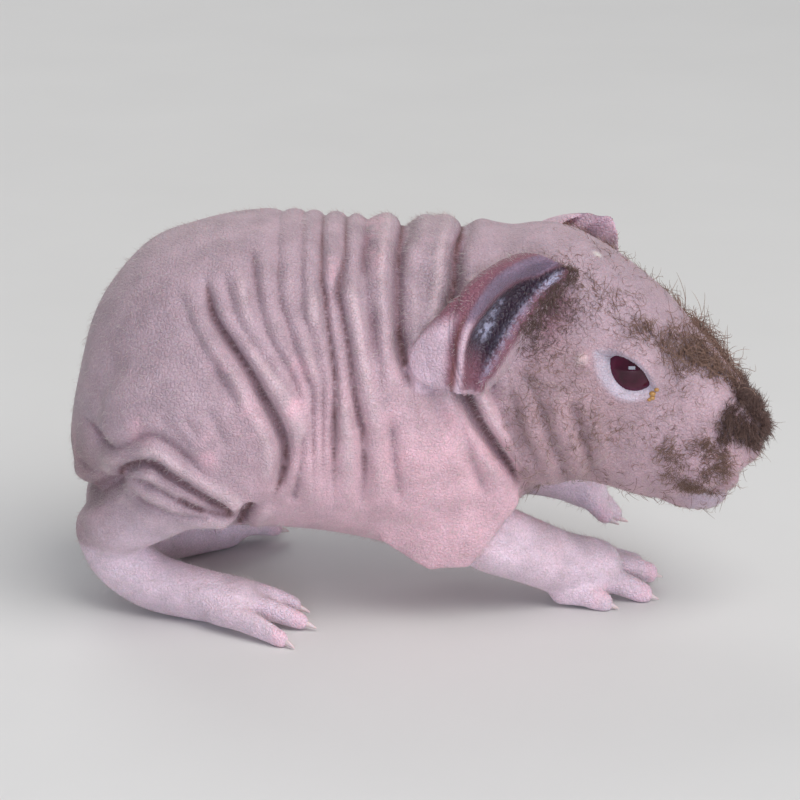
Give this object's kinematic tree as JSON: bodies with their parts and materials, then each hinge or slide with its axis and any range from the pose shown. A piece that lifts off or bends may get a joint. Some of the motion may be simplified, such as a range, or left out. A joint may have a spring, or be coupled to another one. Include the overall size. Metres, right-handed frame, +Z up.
{
  "type": "skinny pig pup",
  "caption": "Life-size hairless guinea pig pup low on its feet with its left forepaw lifted, head stretched forward, with drooping cupped ears and skin folds along its flanks.",
  "frame": {"origin": "on the floor, at the middle of the pup's outline seen from above", "axes": "+X towards the nose, -Y towards the pup's right side, +Z up"},
  "size_m": [0.101, 0.0552, 0.058],
  "materials": {
    "skin": "soft bare skin, faint sheen",
    "ear_skin": "thin smooth skin, faint sheen",
    "paw_skin": "pale soft skin, matte",
    "eye": "wet and glossy",
    "hair": "short curly hair, matte"
  },
  "bodies": {
    "root": {"torso": "skin", "neck": "skin", "head": "skin", "ear_right": "ear_skin", "ear_left": "ear_skin", "eye_right": "eye", "eye_left": "eye", "foreleg_right": "paw_skin", "foreleg_left": "paw_skin", "forepaw_right": "paw_skin", "forepaw_left": "paw_skin", "hindleg_right": "skin", "hindleg_left": "skin", "hindfoot_right": "paw_skin", "hindfoot_left": "paw_skin"}
  },
  "joints": []
}
